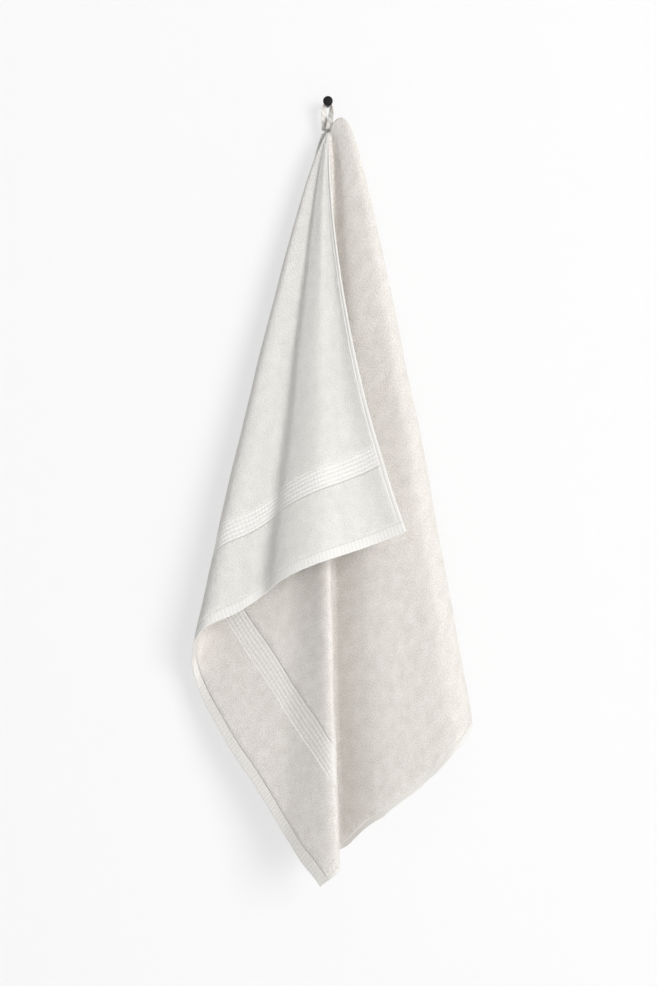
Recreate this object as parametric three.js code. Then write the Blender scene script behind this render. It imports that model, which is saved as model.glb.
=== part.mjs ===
// A terry bath towel hung by its tape loop on a small wall peg. Millimetres, +Z up.
// The origin is the middle of the peg's back face. X runs right along the wall and Y runs into it,
// so a point's distance out from the wall is -Y.
import * as THREE from "three";

// Towel as cut: the loop is sewn to the middle of one long edge
const towelLength = 1500;
const towelWidth = 1000;
const clothThickness = 3;
const loopSpan = 54;

// Peg
const stemRadius = 3.5;
const headRadius = 8;
const headBack = 39;
const headThickness = 8;
const headEdge = 2.4;
const headCrown = 0.8;
const pegSides = 32;
const edgeSteps = 5;

// Loop tape
const tapeWidth = 10;
const tapeThickness = 1.4;
const tapeGap = 0.7;
const tapeSteps = 44;

// The two sewn ends of the loop, where the long edge is held up
const frontSewn = { x: 2, out: 50, z: -48 };
const rearSewn = { x: -8, out: 26, z: -46 };
// Between them the edge stands up in a small arch to the right
const archRight = 15;
const archUp = 12;

// The gathered neck under the loop: how deep its layers are pressed together,
// and how soon a fold line swings from the sewn end to its own line of hang
const neckBack = 9;
const neckDepth = 62;
const neckEase = 110;
const swingLength = 40;
// Cloth is pressed thin in the neck
const pressedLength = 60;
const tipLength = 13;

// Mesh steps
const raysPerFold = 3;
const stepsDown = 18;
const stepCrowding = 1.6;

// Fold lines in order round the towel's outline, from the front free corner to the rear free corner.
// along, down: the point of the flat towel that the line runs to (along the long edge from its middle,
// down from that edge). x, out: where that point hangs. give: hung length over flat length.
// gather: how far right the line starts in the neck. rise: how far the cloth stands up there.
// bow: how far the middle of the line bends to the right.
const foldColumns = ["along", "down", "x", "out", "give", "gather", "rise", "bow"];
const foldRows = [
  // front flap, from its free edge to the left fold
  [-750, 0, 123, 226, 0.96, 0, 0, -27],
  [-750, 56, 78, 211, 0.968, -1.5, 0, -18],
  [-750, 112, 32, 206, 0.975, -3, 0, -11],
  [-750, 167, -14, 203, 0.98, -4.5, 0, -5],
  [-750, 223, -58, 186, 0.985, -6, 0, 0],
  [-750, 262, -84, 167, 0.9885, -7.5, 0, 0],
  [-750, 300, -104, 143, 0.992, -8, 0, 0],
  [-750, 360, -142, 134, 1, -9, 0, -2],
  [-750, 436, -203, 116, 1.007, -11, 0, -7],
  [-750, 494, -221, 82, 1.018, -12, 0, -8],
  // left part behind the flap, from the turn to the lowest corner
  [-750, 552, -218, 58, 1.025, -11, 0, -6],
  [-750, 665, -171, 76, 1.033, -9, 0, -2],
  [-750, 785, -114, 101, 1.023, -8, 0, 0],
  [-750, 875, -74, 120, 1.015, -7, 0, 0],
  [-750, 945, -42, 145, 1.007, -6, 0, 0],
  [-750, 1000, -12, 167, 1, -4, 0, -5],
  // ridge, valley and right panel
  [-727, 1000, 5, 174, 1, -1, 0, -8],
  [-715, 1000, 14, 174, 1, 2, 0, -9],
  [-705, 1000, 18, 167, 1, 5, 0, -9],
  [-688, 1000, 16, 153, 1, 7, 0, -9],
  [-660, 1000, 2, 133, 1.004, 8, 1, -9],
  [-634, 1000, -9, 113, 1.014, 9, 4, -9],
  [-611, 1000, 2, 96, 1.024, 11, 8, -8],
  [-591, 1000, 20, 97, 1.0293, 13, 13, -6],
  [-572, 1000, 34, 107, 1.03, 14.5, 20, -4],
  [-537, 1000, 60, 126, 1.0213, 16, 34, -1],
  [-500, 1000, 90, 142, 1.0195, 17, 46, 1],
  [-372, 1000, 160, 155, 1.0188, 19, 75, 5],
  [-302, 1000, 206, 158, 1, 21, 88, 8],
  [-265, 1000, 228, 139, 0.985, 22, 94, 9],
  // round the right fold and back and forth behind it
  [-235, 1000, 232, 112, 0.98, 22, 92, 9],
  [-195, 1000, 215, 88, 0.98, 21, 90, 8],
  [-75, 1000, 100, 74, 1.0, 18, 86, 4],
  [-27, 1000, 54, 70, 1.0, 16, 82, 2],
  [27, 1000, 2, 66, 1.0, 8, 56, 0],
  [48, 1000, -18, 64, 1.0, 4, 44, 0],
  [68, 1000, -18, 51, 1.0, 3, 38, 0],
  [155, 1000, 70, 54, 1.0, 11, 38, 2],
  [234, 1000, 146, 57, 1.0, 18, 40, 4],
  [254, 1000, 148, 43, 1.0, 18, 36, 4],
  [370, 1000, 40, 41, 1.0, 8, 20, 2],
  [500, 1000, -62, 42, 1.0, -8, 8, 0],
  [525, 1000, -62, 30, 1.0, -8, 6, 0],
  // rear half along the wall, from its lower corner to the rear free edge
  [750, 1000, -8, 30, 1.0, 0, 6, 0],
  [750, 900, 14, 29, 1.0, 6, 10, 0],
  [750, 800, 80, 29, 1.0, 12, 14, 2],
  [750, 720, 136, 29, 1.0, 18, 16, 3],
  [750, 705, 137, 18, 1.0, 18, 14, 3],
  [750, 560, 20, 17, 1.0, -4, 6, 0],
  [750, 340, -150, 18, 1.0, -16, 0, 0],
  [750, 325, -150, 7, 1.0, -16, 0, 0],
  [750, 160, -30, 6, 1.0, -9, 0, 0],
  [750, 0, 66, 7, 1.0, 0, 0, 0],
];
const folds = foldRows.map((row) =>
  Object.fromEntries(foldColumns.map((column, i) => [column, row[i]])),
);

const hung = (x, out, z) => new THREE.Vector3(x, -out, z);

// Distance round the outline from the front free corner, and back to a point of the flat towel
function outlineDistance({ along, down }) {
  if (along <= -towelLength / 2) return down;
  if (along < towelLength / 2) return towelWidth + along + towelLength / 2;
  return 2 * towelWidth + towelLength - down;
}

function outlinePoint(distance) {
  if (distance <= towelWidth) return { along: -towelLength / 2, down: distance };
  if (distance < towelWidth + towelLength)
    return { along: distance - towelWidth - towelLength / 2, down: towelWidth };
  return { along: towelLength / 2, down: 2 * towelWidth + towelLength - distance };
}

// Where the ray to an outline point starts, and its flat length
function rayStart({ along, down }) {
  const half = loopSpan / 2;
  const front = hung(frontSewn.x, frontSewn.out, frontSewn.z);
  const rear = hung(rearSewn.x, rearSewn.out, rearSewn.z);
  if (along <= -half) return { start: front, length: Math.hypot(along + half, down) };
  if (along >= half) return { start: rear, length: Math.hypot(along - half, down) };
  const share = (along + half) / loopSpan;
  const lift = Math.sin(Math.PI * share);
  const start = front.lerp(rear, share);
  start.x += archRight * lift;
  start.z += archUp * lift;
  return { start, length: down };
}

// A fold line's start in the gathered neck, and its slope per unit of flat length
function hangOf(fold) {
  const { start, length } = rayStart(fold);
  const acrossX = fold.x - start.x;
  const acrossOut = fold.out + start.y;
  const drop = Math.sqrt((length * fold.give) ** 2 - acrossX ** 2 - acrossOut ** 2);
  const end = hung(fold.x, fold.out, start.z - drop);
  const neckOut = neckBack + neckDepth * (1 - Math.exp(-fold.out / neckEase));
  const neck = hung(fold.gather, neckOut, start.z + fold.rise);
  return { neck, slope: end.sub(neck).divideScalar(length) };
}

const hangs = folds.map(hangOf);
const neckCurve = new THREE.CatmullRomCurve3(hangs.map((h) => h.neck));
const bowCurve = new THREE.SplineCurve(folds.map((fold, i) => new THREE.Vector2(i, fold.bow)));
const slopeCurve = new THREE.CatmullRomCurve3(
  hangs.map((h) => h.slope.clone().multiplyScalar(towelWidth)),
);

// One ray of the towel, at a place among the fold lines from 0 to 1
function rayAt(place) {
  const last = folds.length - 1;
  const index = Math.min(Math.floor(place * last), last - 1);
  const distance = THREE.MathUtils.lerp(
    outlineDistance(folds[index]),
    outlineDistance(folds[index + 1]),
    place * last - index,
  );
  const { start, length } = rayStart(outlinePoint(distance));
  return {
    start,
    length,
    bow: bowCurve.getPoint(place).y,
    neck: neckCurve.getPoint(place),
    slope: slopeCurve.getPoint(place).divideScalar(towelWidth),
  };
}

function pointOnRay(ray, reach) {
  const share = reach / ray.length;
  const point = ray.neck.clone().addScaledVector(ray.slope, reach);
  point.addScaledVector(ray.start.clone().sub(ray.neck), Math.exp(-reach / swingLength));
  point.x += ray.bow * 4 * share * (1 - share);
  return point;
}

// A closed solid from a grid of middle points and the thickness at each of them
function thickSheet(rows, thickness) {
  const nRows = rows.length;
  const nColumns = rows[0].length;
  const at = (i, j) =>
    rows[THREE.MathUtils.clamp(i, 0, nRows - 1)][THREE.MathUtils.clamp(j, 0, nColumns - 1)];
  const positions = [];
  for (const side of [0.5, -0.5]) {
    for (let i = 0; i < nRows; i++) {
      for (let j = 0; j < nColumns; j++) {
        const across = at(i + 1, j).clone().sub(at(i - 1, j));
        const down = at(i, j + 1).clone().sub(at(i, j - 1));
        const normal = across.cross(down).normalize();
        const point = at(i, j).clone().addScaledVector(normal, side * thickness(i, j));
        positions.push(point.x, point.y, point.z);
      }
    }
  }
  const index = [];
  const quad = (a, b, c, d) => index.push(a, b, c, a, c, d);
  const face = (i, j) => i * nColumns + j;
  const back = (i, j) => nRows * nColumns + face(i, j);
  for (let i = 0; i + 1 < nRows; i++) {
    for (let j = 0; j + 1 < nColumns; j++) {
      quad(face(i, j), face(i + 1, j), face(i + 1, j + 1), face(i, j + 1));
      quad(back(i, j), back(i, j + 1), back(i + 1, j + 1), back(i + 1, j));
    }
  }
  const rim = [];
  for (let i = 0; i < nRows; i++) rim.push([i, 0]);
  for (let j = 1; j < nColumns; j++) rim.push([nRows - 1, j]);
  for (let i = nRows - 2; i >= 0; i--) rim.push([i, nColumns - 1]);
  for (let j = nColumns - 2; j > 0; j--) rim.push([0, j]);
  rim.forEach(([i, j], k) => {
    const [iNext, jNext] = rim[(k + 1) % rim.length];
    quad(face(iNext, jNext), face(i, j), back(i, j), back(iNext, jNext));
  });
  const geometry = new THREE.BufferGeometry();
  geometry.setAttribute("position", new THREE.Float32BufferAttribute(positions, 3));
  geometry.setIndex(index);
  geometry.computeVertexNormals();
  return geometry;
}

function towelGeometry() {
  const nRays = (folds.length - 1) * raysPerFold;
  const rays = Array.from({ length: nRays + 1 }, (_, i) => rayAt(i / nRays));
  const reachAt = (ray, j) =>
    tipLength + (ray.length - tipLength) * (j / stepsDown) ** stepCrowding;
  const grid = rays.map((ray) =>
    Array.from({ length: stepsDown + 1 }, (_, j) => pointOnRay(ray, reachAt(ray, j))),
  );
  const thickness = (i, j) =>
    clothThickness * (1 - Math.exp(-reachAt(rays[i], j) / pressedLength));
  return thickSheet(grid, thickness);
}

// The tape goes up from the front sewn end, over the stem behind the head, and down to the rear one.
// turn: how far its flat side has turned from across the stem towards the front, in degrees.
const loopColumns = ["x", "out", "z", "turn"];
const frontStrand = [
  [-0.5, 47.5, -46.5, 80],
  [3.6, 41.5, -30, 70],
  [6.1, 34, -15, 46],
];
const rearStrand = [
  [-8.8, 33, -15, -48],
  [-10, 29.5, -30, -70],
  [-9.5, 26.5, -46.5, -80],
];
const arcSteps = 8;

function loopGeometry() {
  const overStem = stemRadius + tapeGap + tapeThickness / 2;
  const tapeOut = headBack - tapeGap - tapeWidth / 2;
  const overRows = Array.from({ length: arcSteps + 1 }, (_, i) => {
    const angle = (Math.PI * i) / arcSteps;
    return [overStem * Math.cos(angle), tapeOut, overStem * Math.sin(angle), 0];
  });
  const rows = [...frontStrand, ...overRows, ...rearStrand].map((row) =>
    Object.fromEntries(loopColumns.map((column, i) => [column, row[i]])),
  );
  const middle = new THREE.CatmullRomCurve3(rows.map((row) => hung(row.x, row.out, row.z)));
  const turns = new THREE.SplineCurve(rows.map((row, i) => new THREE.Vector2(i, row.turn)));
  const edges = [-0.5, 0.5].map((side) =>
    Array.from({ length: tapeSteps + 1 }, (_, j) => {
      const turn = THREE.MathUtils.degToRad(turns.getPoint(j / tapeSteps).y);
      const across = hung(Math.sin(turn), Math.cos(turn), 0);
      return middle.getPoint(j / tapeSteps).addScaledVector(across, -side * tapeWidth);
    }),
  );
  return thickSheet(edges, () => tapeThickness);
}

// Turned peg: a plain stem and a round button head with softened edges
function pegGeometry() {
  const headFront = headBack + headThickness;
  const outline = new THREE.Path();
  outline.moveTo(0, 0);
  outline.lineTo(stemRadius, 0);
  outline.lineTo(stemRadius, -headBack);
  outline.lineTo(headRadius - headEdge, -headBack);
  outline.quadraticCurveTo(headRadius, -headBack, headRadius, -headBack - headEdge);
  outline.lineTo(headRadius, headEdge - headFront);
  outline.quadraticCurveTo(headRadius, -headFront, headRadius - headEdge, -headFront);
  outline.lineTo(0, -headFront - headCrown);
  const profile = outline.getPoints(edgeSteps).reverse();
  return new THREE.LatheGeometry(profile, pegSides);
}

const terry = new THREE.MeshStandardMaterial({ color: 0xd9d2c8, roughness: 0.95, metalness: 0 });
const tape = new THREE.MeshStandardMaterial({ color: 0xd6cfc4, roughness: 0.85, metalness: 0 });
const blackPaint = new THREE.MeshStandardMaterial({ color: 0x16161a, roughness: 0.5, metalness: 0 });

function piece(name, geometry, material) {
  const mesh = new THREE.Mesh(geometry, material);
  mesh.name = name;
  return mesh;
}

const towelOnHook = new THREE.Group();
towelOnHook.add(piece("towel", towelGeometry(), terry));
towelOnHook.add(piece("hanger_loop", loopGeometry(), tape));
towelOnHook.add(piece("hook", pegGeometry(), blackPaint));

export default towelOnHook;
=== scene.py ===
import math

import bmesh
import bpy
import numpy as np
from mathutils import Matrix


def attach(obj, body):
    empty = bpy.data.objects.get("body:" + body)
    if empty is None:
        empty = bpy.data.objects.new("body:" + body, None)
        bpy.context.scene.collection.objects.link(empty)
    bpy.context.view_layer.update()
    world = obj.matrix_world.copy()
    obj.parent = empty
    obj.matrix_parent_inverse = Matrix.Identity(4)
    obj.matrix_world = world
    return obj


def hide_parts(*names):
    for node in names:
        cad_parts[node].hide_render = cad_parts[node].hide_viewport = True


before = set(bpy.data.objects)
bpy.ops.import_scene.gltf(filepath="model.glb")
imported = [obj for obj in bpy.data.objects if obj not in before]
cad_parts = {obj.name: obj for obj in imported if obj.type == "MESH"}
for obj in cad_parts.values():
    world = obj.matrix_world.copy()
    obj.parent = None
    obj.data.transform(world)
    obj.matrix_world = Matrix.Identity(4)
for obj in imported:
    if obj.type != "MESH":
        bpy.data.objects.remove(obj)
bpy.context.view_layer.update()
bpy.ops.object.select_all(action="DESELECT")
scene = bpy.context.scene
print("frame loaded:", sorted(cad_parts))

# camera: level, 3.6 m in front of the wall, at the height of the towel's middle
cameraSet = {"place": (0.001, -3.6, -0.648), "lens": 78.57, "sensor": 36.0, "farClip": 60}
bpy.ops.object.camera_add(location=cameraSet["place"], rotation=(math.radians(90), 0, 0))
camera = bpy.context.object
camera.name = "photoCamera"
camera.data.lens = cameraSet["lens"]
camera.data.sensor_width = cameraSet["sensor"]
camera.data.clip_end = cameraSet["farClip"]
scene.camera = camera

# all cloth measures below are in mm, x to the right, out from the wall, z up
towelSet = {
    "length": 1500, "width": 1000, "loopSpan": 54,
    "frontSewn": (2, 50, -48), "rearSewn": (-8, 26, -46), "archRight": 15, "archUp": 12,
    "neckBack": 9, "neckDepth": 62, "neckEase": 110, "swing": 40, "pressed": 60,
    "tip": 6, "raySpacing": 10, "fewestRays": 5, "rows": 75, "crowding": 1.35,
    "endHem": 16.0, "sideHem": 6.5, "seamWidth": 1.4, "seamHalf": 0.45, "seamCuts": (0, 0.5, 1, 1.9),
    "edgeCuts": (0.35, 1.0, 2.4), "endHemCuts": (8.0, 14.8), "sideHemCuts": (5.7,), "edgeRound": 0.8,
    "bandStart": 117.0, "bandEdge": 1.6, "ribPitch": 7.0, "ribs": 5, "ribCuts": 6,
    "pileHalf": 1.5, "hemHalf": 0.85, "bandHalf": 0.7, "ribFace": 0.6, "ribBack": 0.75,
    "swells": ((260, 0.9), (170, 0.7), (110, 0.45), (70, 0.25)), "swellSeed": 7, "swellWays": 3, "swellEase": 260,
}
# one row for each fold line: along, down, x, out, give, gather, rise, bow
foldLines = np.array([
    (-750, 0, 123, 226, 0.96, 0, 0, -27),  # front flap
    (-750, 56, 78, 211, 0.968, -1.5, 0, -18),
    (-750, 112, 32, 206, 0.975, -3, 0, -11),
    (-750, 167, -14, 203, 0.98, -4.5, 0, -5),
    (-750, 223, -58, 186, 0.985, -6, 0, 0),
    (-750, 262, -84, 167, 0.9885, -7.5, 0, 0),
    (-750, 300, -104, 143, 0.992, -8, 0, 0),
    (-750, 360, -142, 134, 1, -9, 0, -2),
    (-750, 436, -203, 116, 1.007, -11, 0, -7),
    (-750, 494, -221, 82, 1.018, -12, 0, -8),
    (-750, 552, -218, 58, 1.025, -11, 0, -6),  # left part behind the flap
    (-750, 665, -171, 76, 1.033, -9, 0, -2),
    (-750, 785, -114, 101, 1.023, -8, 0, 0),
    (-750, 875, -74, 120, 1.015, -7, 0, 0),
    (-750, 945, -42, 145, 1.007, -6, 0, 0),
    (-750, 1000, -12, 167, 1, -4, 0, -5),
    (-727, 1000, 5, 174, 1, -1, 0, -8),  # ridge, valley and right panel
    (-715, 1000, 14, 174, 1, 2, 0, -9),
    (-705, 1000, 18, 167, 1, 5, 0, -9),
    (-688, 1000, 16, 153, 1, 7, 0, -9),
    (-660, 1000, 2, 133, 1.004, 8, 1, -9),
    (-634, 1000, -9, 113, 1.014, 9, 4, -9),
    (-611, 1000, 2, 96, 1.024, 11, 8, -8),
    (-591, 1000, 20, 97, 1.0293, 13, 13, -6),
    (-572, 1000, 34, 107, 1.03, 14.5, 20, -4),
    (-537, 1000, 60, 126, 1.0213, 16, 34, -1),
    (-500, 1000, 90, 142, 1.0195, 17, 46, 1),
    (-372, 1000, 160, 155, 1.0188, 19, 75, 5),
    (-302, 1000, 206, 158, 1, 21, 88, 8),
    (-265, 1000, 228, 139, 0.985, 22, 94, 9),
    (-235, 1000, 232, 112, 0.98, 22, 92, 9),  # round the right fold and behind it
    (-195, 1000, 215, 88, 0.98, 21, 90, 8),
    (-75, 1000, 100, 74, 1.0, 18, 86, 4),
    (-27, 1000, 54, 70, 1.0, 16, 82, 2),
    (27, 1000, 2, 66, 1.0, 8, 56, 0),
    (48, 1000, -18, 64, 1.0, 4, 44, 0),
    (68, 1000, -18, 51, 1.0, 3, 38, 0),
    (155, 1000, 70, 54, 1.0, 11, 38, 2),
    (234, 1000, 146, 57, 1.0, 18, 40, 4),
    (254, 1000, 148, 43, 1.0, 18, 36, 4),
    (370, 1000, 40, 41, 1.0, 8, 20, 2),
    (500, 1000, -62, 42, 1.0, -8, 8, 0),
    (525, 1000, -62, 30, 1.0, -8, 6, 0),
    (750, 1000, -8, 30, 1.0, 0, 6, 0),  # rear half along the wall
    (750, 900, 14, 29, 1.0, 6, 10, 0),
    (750, 800, 80, 29, 1.0, 12, 14, 2),
    (750, 720, 136, 29, 1.0, 18, 16, 3),
    (750, 705, 137, 18, 1.0, 18, 14, 3),
    (750, 560, 20, 17, 1.0, -4, 6, 0),
    (750, 340, -150, 18, 1.0, -16, 0, 0),
    (750, 325, -150, 7, 1.0, -16, 0, 0),
    (750, 160, -30, 6, 1.0, -9, 0, 0),
    (750, 0, 66, 7, 1.0, 0, 0, 0),
], dtype=float)
halfLength = towelSet["length"] / 2
halfSpan = towelSet["loopSpan"] / 2
towelWidth = towelSet["width"]
bandEnd = towelSet["bandStart"] + towelSet["ribs"] * towelSet["ribPitch"]
mmPerMetre = 1000
hung = np.array([1.0, -1.0, 1.0])  # (x, out, z) to the scene's x, y, z
frontSewn = np.array(towelSet["frontSewn"]) * hung
rearSewn = np.array(towelSet["rearSewn"]) * hung


def outlineDistance(along, down):
    return np.where(along <= -halfLength, down,
                    np.where(along < halfLength, towelWidth + along + halfLength,
                             2 * towelWidth + 2 * halfLength - down))


def rayStart(along, down):
    share = np.clip((along + halfSpan) / (2 * halfSpan), 0, 1)
    lift = np.sin(np.pi * share)
    start = frontSewn + share[:, None] * (rearSewn - frontSewn)
    start[:, 0] += towelSet["archRight"] * lift
    start[:, 2] += towelSet["archUp"] * lift
    across = np.maximum(np.abs(along) - halfSpan, 0)
    return start, np.hypot(across, down)


def hermite(p1, p2, t1, t2, w):
    return p1 + t1 * w + (3 * (p2 - p1) - 2 * t1 - t2) * w**2 + (2 * (p1 - p2) + t1 + t2) * w**3


def softCurve(points, place):
    # centripetal curve through the points, at places 0 to n-1
    tiny = 1e-4
    padded = np.vstack([2 * points[0] - points[1], points, 2 * points[-1] - points[-2]])
    i = np.clip(np.floor(place).astype(int), 0, len(points) - 2)
    w = (place - i)[:, None]
    p0, p1, p2, p3 = padded[i], padded[i + 1], padded[i + 2], padded[i + 3]
    d1 = np.sqrt(np.linalg.norm(p2 - p1, axis=1))[:, None]
    d1 = np.where(d1 < tiny, 1, d1)
    d0 = np.sqrt(np.linalg.norm(p1 - p0, axis=1))[:, None]
    d0 = np.where(d0 < tiny, d1, d0)
    d2 = np.sqrt(np.linalg.norm(p3 - p2, axis=1))[:, None]
    d2 = np.where(d2 < tiny, d1, d2)
    t1 = ((p1 - p0) / d0 - (p2 - p0) / (d0 + d1) + (p2 - p1) / d1) * d1
    t2 = ((p2 - p1) / d1 - (p3 - p1) / (d1 + d2) + (p3 - p2) / d2) * d1
    return hermite(p1, p2, t1, t2, w)


def evenCurve(values, place):
    # the same for single values, evenly spaced
    padded = np.concatenate([values[:1], values, values[-1:]])
    i = np.clip(np.floor(place).astype(int), 0, len(values) - 2)
    p0, p1, p2, p3 = padded[i], padded[i + 1], padded[i + 2], padded[i + 3]
    return hermite(p1, p2, (p2 - p0) / 2, (p3 - p1) / 2, place - i)


# each fold line's start in the neck and its slope per mm of flat cloth
foldStart, foldLength = rayStart(foldLines[:, 0], foldLines[:, 1])
foldX, foldOut, foldGive, foldGather, foldRise, foldBow = foldLines[:, 2:].T
foldDrop = np.sqrt((foldLength * foldGive) ** 2 - (foldX - foldStart[:, 0]) ** 2
                   - (foldOut + foldStart[:, 1]) ** 2)
foldEnd = np.column_stack([foldX, -foldOut, foldStart[:, 2] - foldDrop])
neckOut = towelSet["neckBack"] + towelSet["neckDepth"] * (1 - np.exp(-foldOut / towelSet["neckEase"]))
foldNeck = np.column_stack([foldGather, -neckOut, foldStart[:, 2] + foldRise])
foldSlope = (foldEnd - foldNeck) / foldLength[:, None]
foldPlace = outlineDistance(foldLines[:, 0], foldLines[:, 1])


def flatToRay(along, down):
    # the outline point that a flat point's ray runs to, and its reach along that ray
    across = np.maximum(np.abs(along) - halfSpan, 0)
    with np.errstate(divide="ignore"):
        grow = np.minimum((halfLength - halfSpan) / across, towelWidth / down)
    side = np.sign(along)
    inStrip = np.abs(along) <= halfSpan
    endAlong = np.where(inStrip, along, side * (halfSpan + across * grow))
    endDown = np.where(inStrip, towelWidth, down * grow)
    onEnd = np.abs(np.abs(endAlong) - halfLength) < 1e-6
    endAlong = np.where(onEnd, np.sign(endAlong) * halfLength, endAlong)
    return endAlong, endDown, np.hypot(across, down)


def hangCloth(along, down):
    endAlong, endDown, reach = flatToRay(along, down)
    start, length = rayStart(endAlong, endDown)
    place = np.interp(outlineDistance(endAlong, endDown), foldPlace, np.arange(len(foldPlace)))
    neck = softCurve(foldNeck, place)
    slope = softCurve(foldSlope * towelWidth, place) / towelWidth
    share = reach / length
    point = neck + slope * reach[:, None] + (start - neck) * np.exp(-reach / towelSet["swing"])[:, None]
    point[:, 0] += evenCurve(foldBow, place) * 4 * share * (1 - share)
    return point, reach


def flatCloth():
    # rays run from the sewn ends to the outline, closer together where a fold turns tightly
    stops = []
    for a, b in zip(foldPlace[:-1], foldPlace[1:]):
        n = max(towelSet["fewestRays"], math.ceil((b - a) / towelSet["raySpacing"]))
        stops.extend(a + (b - a) * np.arange(n) / n)
    stops.append(foldPlace[-1])
    stops = np.array(stops)
    along = np.clip(stops - towelWidth, 0, 2 * halfLength) - halfLength
    down = np.where(stops < towelWidth, stops, np.minimum(towelWidth, 2 * towelWidth + 2 * halfLength - stops))
    foot = np.clip(along, -halfSpan, halfSpan)
    length = np.hypot(along - foot, down)
    step = (np.arange(towelSet["rows"] + 1) / towelSet["rows"]) ** towelSet["crowding"]
    reach = towelSet["tip"] + (length[:, None] - towelSet["tip"]) * step[None, :]
    share = reach / length[:, None]
    flatX = foot[:, None] + (along - foot)[:, None] * share
    flatY = down[:, None] * share
    nRays, nRows = flatX.shape
    bm = bmesh.new()
    verts = [bm.verts.new((x, y, 0)) for x, y in zip(flatX.ravel(), flatY.ravel())]
    for i in range(nRays - 1):
        for j in range(nRows - 1):
            a, b = i * nRows + j, (i + 1) * nRows + j
            bm.faces.new((verts[a], verts[a + 1], verts[b + 1], verts[b]))
    return bm


def cutLines():
    # distances from an end and from a side where the hem, its seam and the ribs of the band need an edge
    s = towelSet
    ends = [*s["edgeCuts"], *s["endHemCuts"]] + [s["endHem"] + k * s["seamWidth"] for k in s["seamCuts"]]
    ends += [s["bandStart"] - s["bandEdge"], s["bandStart"] - s["bandEdge"] / 2]
    ends += [s["bandStart"] + k * s["ribPitch"] / s["ribCuts"] for k in range(s["ribs"] * s["ribCuts"] + 1)]
    ends += [bandEnd + s["bandEdge"] / 2, bandEnd + s["bandEdge"]]
    sides = [*s["edgeCuts"], *s["sideHemCuts"]] + [s["sideHem"] + k * s["seamWidth"] for k in s["seamCuts"]]
    return ends, sides


def cutFlat(bm):
    ends, sides = cutLines()
    zones = [(0, -halfLength, 1, ends), (0, halfLength, -1, ends), (1, 0, 1, sides), (1, towelWidth, -1, sides)]
    for axis, edge, inward, distances in zones:
        near = max(distances)
        faces = [f for f in bm.faces if min(abs(v.co[axis] - edge) for v in f.verts) < near]
        geom = list({v for f in faces for v in f.verts}) + list({e for f in faces for e in f.edges}) + faces
        normal = (1, 0, 0) if axis == 0 else (0, 1, 0)
        for d in distances:
            cut = tuple((edge + inward * d) * c for c in normal)
            geom = bmesh.ops.bisect_plane(bm, geom=geom, dist=0.02, plane_co=cut, plane_no=normal)["geom"]
    many = [f for f in bm.faces if len(f.verts) > 4]
    bmesh.ops.triangulate(bm, faces=many)


def smoothStep(low, high, value):
    t = np.clip((value - low) / (high - low), 0, 1)
    return t * t * (3 - 2 * t)


def clothRelief(along, down):
    # half thickness of the face and the back, share of pile, and share of seam
    s = towelSet
    fromEnd = halfLength - np.abs(along)
    fromSide = np.minimum(down, towelWidth - down)
    seamW, pileFrom = s["seamWidth"], s["seamCuts"][-1] * s["seamWidth"]
    pile = smoothStep(s["endHem"] + seamW, s["endHem"] + pileFrom, fromEnd)
    pile = np.minimum(pile, smoothStep(s["sideHem"] + seamW, s["sideHem"] + pileFrom, fromSide))
    seam = np.maximum(1 - np.abs(fromEnd - s["endHem"] - seamW / 2) / (seamW / 2),
                      (1 - np.abs(fromSide - s["sideHem"] - seamW / 2) / (seamW / 2)) * (fromEnd > s["endHem"]))
    seam = np.clip(seam, 0, 1)
    band = smoothStep(s["bandStart"] - s["bandEdge"], s["bandStart"], fromEnd)
    band = band * (1 - smoothStep(bandEnd, bandEnd + s["bandEdge"], fromEnd)) * pile
    rib = np.sin(np.pi * (fromEnd - s["bandStart"]) / s["ribPitch"]) ** 2
    rib *= (fromEnd > s["bandStart"]) & (fromEnd < bandEnd)
    ground = s["hemHalf"] + (s["pileHalf"] - s["hemHalf"]) * pile
    ground = ground + (s["seamHalf"] - ground) * seam
    edge = np.clip(np.minimum(fromEnd, fromSide), 0, 1)
    rounding = np.sqrt(np.clip(1 - (1 - edge) ** 2, 0, 1)) * s["edgeRound"] + 1 - s["edgeRound"]
    face = (ground + (s["bandHalf"] + s["ribFace"] * rib - ground) * band) * rounding
    back = (ground + (s["bandHalf"] + s["ribBack"] * rib - ground) * band) * rounding
    return face, back, pile * (1 - band), seam


def clothWaves(along, down, reach):
    # low soft swells that the hang leaves in the cloth
    s = towelSet
    rng = np.random.default_rng(s["swellSeed"])
    height = np.zeros_like(along)
    for wavelength, size in s["swells"]:
        for _ in range(s["swellWays"]):
            turn, phase = rng.uniform(0, np.pi), rng.uniform(0, 2 * np.pi)
            run = along * np.cos(turn) + down * np.sin(turn)
            height += size / s["swellWays"] * np.sin(2 * np.pi * run / wavelength + phase)
    return height * (1 - np.exp(-(reach / s["swellEase"]) ** 2))


def setPlaces(bm, places):
    # moves the cloth's points and returns their new normals
    for v, p in zip(bm.verts, places):
        v.co = p
    bm.normal_update()
    return np.array([v.normal for v in bm.verts])


def flatMap(mesh, name, flat):
    uv = mesh.uv_layers.new(name=name)
    corner = np.empty(len(mesh.loops), dtype=np.int32)
    mesh.loops.foreach_get("vertex_index", corner)
    uv.data.foreach_set("uv", (flat[corner] / mmPerMetre).astype(np.float32).ravel())


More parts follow.
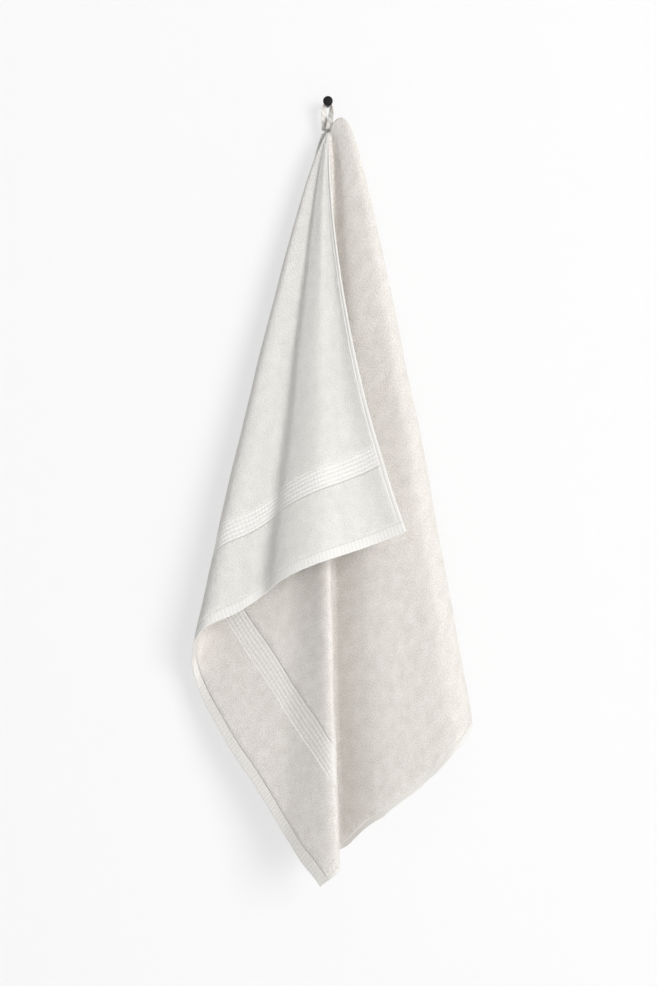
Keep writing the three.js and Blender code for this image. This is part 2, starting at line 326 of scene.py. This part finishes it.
def towelPiece():
    bm = flatCloth()
    cutFlat(bm)
    bm.verts.ensure_lookup_table()
    flat = np.array([v.co[:2] for v in bm.verts])
    along, down = flat[:, 0], np.clip(flat[:, 1], 0, towelWidth)
    middle, reach = hangCloth(along, down)
    normal = setPlaces(bm, middle)
    middle = middle + normal * clothWaves(along, down, reach)[:, None]
    normal = setPlaces(bm, middle)
    face, back, pile, seam = clothRelief(along, down)
    pressed = (1 - np.exp(-reach / towelSet["pressed"]))  # thinner where the neck is bunched
    n = len(flat)
    points = np.vstack([middle + normal * (face * pressed)[:, None], middle - normal * (back * pressed)[:, None]])
    bm.faces.ensure_lookup_table()
    faces = [[v.index for v in f.verts] for f in bm.faces]
    rim = []
    for e in bm.edges:
        if len(e.link_faces) == 1:
            loop = e.link_loops[0]
            a, b = loop.vert.index, loop.link_loop_next.vert.index
            rim.append((b, a, a + n, b + n))
    bm.free()
    everyFace = faces + [[i + n for i in reversed(f)] for f in faces] + rim
    mesh = bpy.data.meshes.new("towelCloth")
    mesh.from_pydata((points / mmPerMetre).tolist(), [], everyFace)
    flatMap(mesh, "flatCloth", np.vstack([flat, flat]))
    shearedLitFace = np.repeat((0.0, 1.0), n)  # 1 on the face seen on the flap: paler, with less grain contrast, partly as a sheared face and partly as painted light for the lit flap
    for name, values in (("pile", np.tile(pile, 2)), ("seam", np.tile(seam, 2)), ("shearedLitFace", shearedLitFace)):
        layer = mesh.attributes.new(name, "FLOAT", "POINT")
        layer.data.foreach_set("value", values.astype(np.float32))
    mesh.shade_smooth()
    mesh.update()
    piece = bpy.data.objects.new("towelCloth", mesh)
    scene.collection.objects.link(piece)
    print("towel:", len(mesh.polygons), "faces", sum(len(p.vertices) - 2 for p in mesh.polygons), "triangles")
    return piece


towelCloth = towelPiece()
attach(towelCloth, "root")
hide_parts("towel")


# hook, in mm: a round stem with a crowned button
hookSet = {
    "stemRadius": 3.5, "headRadius": 8.0, "headBack": 39.0, "headThickness": 8.0, "headEdge": 2.4, "edgeSteps": 6,
    "crownRings": ((2.2, 0.56), (1.8, 0.24)), "sides": 64, "smoothAngle": 40,
}
# hanging loop, in mm: a flat woven tape over the stem, with rows of x, out, z and turn in degrees
loopSet = {
    "width": 10.0, "thickness": 1.4, "gap": 0.7, "steps": 150, "across": 12, "arcSteps": 8,
    "selvage": 0.12, "rimShare": 0.55,
    "front": ((1.2, 47.5, -46.5, 80), (4.2, 41.5, -30, 70), (5.9, 34, -15, 46)),
    "rear": ((-6.4, 33, -15, -48), (-5.8, 29.5, -30, -70), (-5.2, 26.5, -46.5, -80)),
}


def loopPiece():
    s = loopSet
    over = hookSet["stemRadius"] + s["gap"] + s["thickness"] / 2
    tapeOut = hookSet["headBack"] - s["gap"] - s["width"] / 2
    angles = np.pi * np.arange(s["arcSteps"] + 1) / s["arcSteps"]
    arc = [(over * np.cos(a), tapeOut, over * np.sin(a), 0) for a in angles]
    rows = np.array([*s["front"], *arc, *s["rear"]], dtype=float)
    place = np.linspace(0, len(rows) - 1, s["steps"] + 1)
    middle = softCurve(rows[:, :3] * hung, place)
    turn = np.radians(evenCurve(rows[:, 3], place))
    across = np.column_stack([np.sin(turn), -np.cos(turn), np.zeros_like(turn)])
    along = np.gradient(middle, axis=0)
    along /= np.linalg.norm(along, axis=1)[:, None]
    normal = np.cross(across, along)
    normal /= np.linalg.norm(normal, axis=1)[:, None]
    # section: a flat middle with slightly fuller selvages and rounded rims
    share = np.linspace(-1, 1, s["across"] + 1)
    half = s["thickness"] / 2 * (1 - s["selvage"] * (1 - np.abs(share)))
    half[[0, -1]] *= s["rimShare"]
    ring = np.array([*zip(share, half), *zip(share[::-1], -half[::-1])])
    points = (middle[:, None, :] + across[:, None, :] * (ring[None, :, 0:1] * s["width"] / 2)
              + normal[:, None, :] * ring[None, :, 1:2])
    nRing = len(ring)
    nAlong = len(middle)
    faces = []
    for i in range(nAlong - 1):
        for j in range(nRing):
            k = (j + 1) % nRing
            faces.append((i * nRing + j, i * nRing + k, (i + 1) * nRing + k, (i + 1) * nRing + j))
    last = (nAlong - 1) * nRing
    for j in range(s["across"]):
        k = nRing - 1 - j
        faces.append((j + 1, j, k, k - 1))
        faces.append((last + j, last + j + 1, last + k - 1, last + k))
    mesh = bpy.data.meshes.new("loopTape")
    mesh.from_pydata((points.reshape(-1, 3) / mmPerMetre).tolist(), [], faces)
    run = np.concatenate([[0], np.cumsum(np.linalg.norm(np.diff(middle, axis=0), axis=1))])
    flat = np.stack(np.broadcast_arrays(ring[None, :, 0] * s["width"] / 2, run[:, None]), axis=2)
    flatMap(mesh, "flatTape", flat.reshape(-1, 2))
    mesh.shade_smooth()
    mesh.update()
    piece = bpy.data.objects.new("loopTape", mesh)
    scene.collection.objects.link(piece)
    bm = bmesh.new()
    bm.from_mesh(mesh)
    bmesh.ops.recalc_face_normals(bm, faces=bm.faces)
    bm.to_mesh(mesh)
    bm.free()
    print("loop:", len(mesh.polygons), "faces")
    return piece


loopTape = loopPiece()
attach(loopTape, "root")
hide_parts("hanger_loop")


def selectFaces(obj, test):
    bpy.ops.object.mode_set(mode="OBJECT")
    for v in obj.data.vertices:
        v.select = False
    for e in obj.data.edges:
        e.select = False
    for p in obj.data.polygons:
        p.select = test(p)
    bpy.ops.object.mode_set(mode="EDIT")
    bpy.ops.mesh.select_mode(type="FACE")


def hookPiece():
    s = hookSet
    stemRadius, headRadius = s["stemRadius"] / mmPerMetre, s["headRadius"] / mmPerMetre
    headBack, headThickness = s["headBack"] / mmPerMetre, s["headThickness"] / mmPerMetre
    near = 0.0002
    bpy.ops.object.select_all(action="DESELECT")
    bpy.ops.mesh.primitive_cylinder_add(vertices=s["sides"], radius=stemRadius, depth=headBack,
                                        location=(0, -headBack / 2, 0), rotation=(math.radians(90), 0, 0))
    hook = bpy.context.object
    hook.name = hook.data.name = "wallHook"
    bpy.ops.object.transform_apply(location=True, rotation=True, scale=True)
    selectFaces(hook, lambda p: p.normal.y < -0.9 and p.center.y < -headBack + near)
    wide = headRadius / stemRadius
    bpy.ops.mesh.extrude_region_move(TRANSFORM_OT_translate={"value": (0, 0, 0)})
    bpy.ops.transform.resize(value=(wide, 1, wide), center_override=(0, -headBack, 0))
    bpy.ops.mesh.extrude_region_move(TRANSFORM_OT_translate={"value": (0, -headThickness, 0)})
    bpy.ops.object.mode_set(mode="OBJECT")
    # round both edges of the button
    for e in hook.data.edges:
        a, b = [hook.data.vertices[i].co for i in e.vertices]
        onRim = all(math.hypot(c.x, c.z) > headRadius - near for c in (a, b))
        e.select = onRim and abs(a.y - b.y) < 1e-6
    bpy.ops.object.mode_set(mode="EDIT")
    bpy.ops.mesh.select_mode(type="EDGE")
    bpy.ops.mesh.bevel(offset=s["headEdge"] / mmPerMetre, segments=s["edgeSteps"], profile=0.5)
    # a low crown on the front face
    headFront = -headBack - headThickness
    selectFaces(hook, lambda p: p.normal.y < -0.99 and p.center.y < headFront + near)
    for inset, rise in s["crownRings"]:
        bpy.ops.mesh.inset(thickness=inset / mmPerMetre)
        bpy.ops.transform.translate(value=(0, -rise / mmPerMetre, 0))
    bpy.ops.object.mode_set(mode="OBJECT")
    bpy.ops.object.shade_smooth_by_angle(angle=math.radians(s["smoothAngle"]))
    print("hook:", len(hook.data.polygons), "faces")
    return hook


wallHook = hookPiece()
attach(wallHook, "root")
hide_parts("hook")


# finishes
def newFinish(name):
    finish = bpy.data.materials.new(name)
    finish.use_nodes = True
    nodes = finish.node_tree.nodes
    return finish, nodes, finish.node_tree.links, nodes["Principled BSDF"]


def feed(links, socket, value):
    # a link from another node, or else a fixed value
    if hasattr(value, "is_output"):
        links.new(value, socket)
    else:
        socket.default_value = value


def mathNode(nodes, links, kind, a, b):
    node = nodes.new("ShaderNodeMath")
    node.operation = kind
    feed(links, node.inputs[0], a)
    feed(links, node.inputs[1], b)
    return node.outputs[0]


def mixColour(nodes, links, share, a, b):
    node = nodes.new("ShaderNodeMix")
    node.data_type = "RGBA"
    links.new(share, node.inputs["Factor"])
    for socket, value in ((node.inputs[6], a), (node.inputs[7], b)):  # the two colours
        feed(links, socket, value if hasattr(value, "is_output") else (*value, 1))
    return node.outputs[2]


def noiseNode(nodes, links, place, scale, detail):
    node = nodes.new("ShaderNodeTexNoise")
    node.inputs["Scale"].default_value = scale
    node.inputs["Detail"].default_value = detail
    links.new(place, node.inputs["Vector"])
    return node


def weaveNode(nodes, links, place, step, direction, wander):
    node = nodes.new("ShaderNodeTexWave")
    node.bands_direction = direction
    node.inputs["Scale"].default_value = 1 / step / 20  # at scale 1 the wave runs through 20 radians in 1 m
    node.inputs["Distortion"].default_value = wander
    links.new(place, node.inputs["Vector"])
    return node


def bumpNode(nodes, links, shader, height, strength, depth):
    node = nodes.new("ShaderNodeBump")
    node.inputs["Strength"].default_value = strength
    node.inputs["Distance"].default_value = depth
    links.new(height, node.inputs["Height"])
    links.new(node.outputs[0], shader.inputs["Normal"])


def uvNode(nodes, name):
    node = nodes.new("ShaderNodeUVMap")
    node.uv_map = name
    return node.outputs[0]


def layerNode(nodes, name):
    node = nodes.new("ShaderNodeAttribute")
    node.attribute_name = name
    return node.outputs["Fac"]


terrySet = {
    # the looped face's pile is darker and warmer, partly as the cloth's own beige and partly as painted shade
    # where that face lies in the shaded panels and valley; the sheared face's paler colours are partly painted
    # light on the lit flap
    "pile": (0.75, 0.72, 0.685), "pileDeep": (0.54, 0.51, 0.47), "woven": (0.645, 0.627, 0.597),
    "shearedLitPile": (0.795, 0.782, 0.753), "shearedLitDeep": (0.645, 0.63, 0.6), "shearedLitWoven": (0.745, 0.735, 0.708),
    "seam": (0.52, 0.50, 0.47), "seamShare": 0.8,
    "loopSize": 0.0021, "loopRough": 0.6, "tuftLoops": 9, "tuftShare": 0.25, "grainRange": (0.34, 0.62),
    "weaveStep": 0.0011, "weaveWander": 0.6, "weaveHeight": 0.12, "bump": 0.8, "bumpDepth": 0.003,
    "roughness": 0.95, "sheen": 0.25, "sheenRough": 0.5, "specular": 0.2,
}


def terryFinish():
    s = terrySet
    finish, nodes, links, shader = newFinish("terryCloth")
    flat = uvNode(nodes, "flatCloth")
    loops = noiseNode(nodes, links, flat, 1 / s["loopSize"], 2.0)
    loops.inputs["Roughness"].default_value = s["loopRough"]
    tufts = noiseNode(nodes, links, flat, 1 / (s["loopSize"] * s["tuftLoops"]), 3.0)
    weave = weaveNode(nodes, links, flat, s["weaveStep"], "Y", s["weaveWander"])
    pile, seam, shearedLitFace = [layerNode(nodes, name) for name in ("pile", "seam", "shearedLitFace")]
    loopPart = mathNode(nodes, links, "MULTIPLY", loops.outputs["Fac"], 1 - s["tuftShare"])
    tuftPart = mathNode(nodes, links, "MULTIPLY", tufts.outputs["Fac"], s["tuftShare"])
    grain = mathNode(nodes, links, "ADD", loopPart, tuftPart)
    spread = nodes.new("ShaderNodeMapRange")
    spread.inputs["From Min"].default_value, spread.inputs["From Max"].default_value = s["grainRange"]
    links.new(grain, spread.inputs["Value"])
    # painted light and shade: the flap's face takes the paler colours, the other face the darker, warmer ones
    loopedShadedColour = mixColour(nodes, links, spread.outputs[0], s["pileDeep"], s["pile"])
    shearedLitColour = mixColour(nodes, links, spread.outputs[0], s["shearedLitDeep"], s["shearedLitPile"])
    pileColour = mixColour(nodes, links, shearedLitFace, loopedShadedColour, shearedLitColour)
    wovenColour = mixColour(nodes, links, shearedLitFace, s["woven"], s["shearedLitWoven"])
    colour = mixColour(nodes, links, pile, wovenColour, pileColour)
    seamPart = mathNode(nodes, links, "MULTIPLY", seam, s["seamShare"])
    links.new(mixColour(nodes, links, seamPart, colour, s["seam"]), shader.inputs["Base Color"])
    pileHeight = mathNode(nodes, links, "MULTIPLY", grain, pile)
    wovenShare = mathNode(nodes, links, "SUBTRACT", 1.0, pile)
    threads = mathNode(nodes, links, "MULTIPLY", weave.outputs["Fac"], s["weaveHeight"])
    wovenHeight = mathNode(nodes, links, "MULTIPLY", threads, wovenShare)
    height = mathNode(nodes, links, "ADD", pileHeight, wovenHeight)
    bumpNode(nodes, links, shader, height, s["bump"], s["bumpDepth"])
    shader.inputs["Roughness"].default_value = s["roughness"]
    shader.inputs["Sheen Weight"].default_value = s["sheen"]
    shader.inputs["Sheen Roughness"].default_value = s["sheenRough"]
    shader.inputs["Specular IOR Level"].default_value = s["specular"]
    return finish


tapeSet = {
    "light": (0.7, 0.68, 0.645), "deep": (0.55, 0.53, 0.5), "rowStep": 0.0009, "wander": 0.4,
    "bump": 0.4, "bumpDepth": 0.0004, "roughness": 0.85, "sheen": 0.15,
}


def tapeFinish():
    s = tapeSet
    finish, nodes, links, shader = newFinish("wovenTape")
    weave = weaveNode(nodes, links, uvNode(nodes, "flatTape"), s["rowStep"], "DIAGONAL", s["wander"])
    links.new(mixColour(nodes, links, weave.outputs["Fac"], s["deep"], s["light"]), shader.inputs["Base Color"])
    bumpNode(nodes, links, shader, weave.outputs["Fac"], s["bump"], s["bumpDepth"])
    shader.inputs["Roughness"].default_value = s["roughness"]
    shader.inputs["Sheen Weight"].default_value = s["sheen"]
    return finish


paintSet = {
    "black": (0.004, 0.004, 0.0045), "worn": (0.011, 0.011, 0.012), "grain": 900.0, "roughRange": (0.38, 0.55),
    "bump": 0.15, "bumpDepth": 0.0002, "specular": 0.15,
}


def paintFinish():
    s = paintSet
    finish, nodes, links, shader = newFinish("blackPaint")
    place = nodes.new("ShaderNodeTexCoord")
    speckle = noiseNode(nodes, links, place.outputs["Object"], s["grain"], 3.0)
    links.new(mixColour(nodes, links, speckle.outputs["Fac"], s["black"], s["worn"]), shader.inputs["Base Color"])
    rough = nodes.new("ShaderNodeMapRange")
    rough.inputs["To Min"].default_value, rough.inputs["To Max"].default_value = s["roughRange"]
    links.new(speckle.outputs["Fac"], rough.inputs["Value"])
    links.new(rough.outputs[0], shader.inputs["Roughness"])
    bumpNode(nodes, links, shader, speckle.outputs["Fac"], s["bump"], s["bumpDepth"])
    shader.inputs["Specular IOR Level"].default_value = s["specular"]
    return finish


for piece, finish in ((towelCloth, terryFinish()), (loopTape, tapeFinish()), (wallHook, paintFinish())):
    piece.data.materials.clear()
    piece.data.materials.append(finish)
print("finishes set")


# stage: pale floor well below, a pale wall that shows only from its front, soft studio light
stageSet = {
    "floor": -1.9, "size": 14.0, "wallGap": 0.0005, "world": 0.37, "aim": (0.0, -0.1, -0.65),
    "floorWhite": (0.85, 0.85, 0.85), "floorRough": 0.9,
    "wallWhite": (0.26, 0.26, 0.26), "wallRough": 1.0, "wallGlow": 0.61,
    "lights": {  # place, size and power
        "keyLight": ((3.8, -6.8, 0.7), 3.4, 530.0),
        "fillLight": ((0.0, -6.6, 3.9), 3.0, 30.0),
        "backLight": ((1.2, 3.5, 0.8), 3.0, 30.0),
    },
}


def stagePlane(name, location, rotation):
    bpy.ops.object.select_all(action="DESELECT")
    bpy.ops.mesh.primitive_plane_add(size=stageSet["size"], location=location, rotation=rotation)
    plane = bpy.context.object
    plane.name = plane.data.name = name
    return plane


def areaLight(name, place, size, power):
    bpy.ops.object.light_add(type="AREA", location=place)
    light = bpy.context.object
    light.name = name
    light.data.size = size
    light.data.energy = power
    toAim = np.array(stageSet["aim"]) - np.array(place)
    pitch = math.atan2(math.hypot(toAim[0], toAim[1]), -toAim[2])
    light.rotation_euler = (pitch, 0, math.atan2(-toAim[0], toAim[1]))


floor = stagePlane("paleFloor", (0, 0, stageSet["floor"]), (0, 0, 0))
wallMiddle = stageSet["floor"] + stageSet["size"] / 2
wall = stagePlane("paleWall", (0, stageSet["wallGap"], wallMiddle), (math.radians(90), 0, 0))
wall.visible_shadow = False
floorFinish, nodes, links, shader = newFinish("paleFloor")
shader.inputs["Base Color"].default_value = (*stageSet["floorWhite"], 1)
shader.inputs["Roughness"].default_value = stageSet["floorRough"]
floor.data.materials.append(floorFinish)
wallFinish, nodes, links, shader = newFinish("paleWall")
shader.inputs["Base Color"].default_value = (*stageSet["wallWhite"], 1)
shader.inputs["Roughness"].default_value = stageSet["wallRough"]
shader.inputs["Emission Color"].default_value = (1, 1, 1, 1)
shader.inputs["Emission Strength"].default_value = stageSet["wallGlow"]
facing = nodes.new("ShaderNodeNewGeometry")
clear = nodes.new("ShaderNodeBsdfTransparent")
oneSided = nodes.new("ShaderNodeMixShader")
links.new(facing.outputs["Backfacing"], oneSided.inputs[0])
links.new(shader.outputs[0], oneSided.inputs[1])
links.new(clear.outputs[0], oneSided.inputs[2])
links.new(oneSided.outputs[0], nodes["Material Output"].inputs["Surface"])
wall.data.materials.append(wallFinish)

world = bpy.data.worlds.new("studio")
world.use_nodes = True
world.node_tree.nodes["Background"].inputs["Color"].default_value = (1, 1, 1, 1)
world.node_tree.nodes["Background"].inputs["Strength"].default_value = stageSet["world"]
scene.world = world
for lightName, (lightPlace, lightSize, lightPower) in stageSet["lights"].items():
    areaLight(lightName, lightPlace, lightSize, lightPower)
scene.view_settings.view_transform = "Standard"
print("stage and light set")
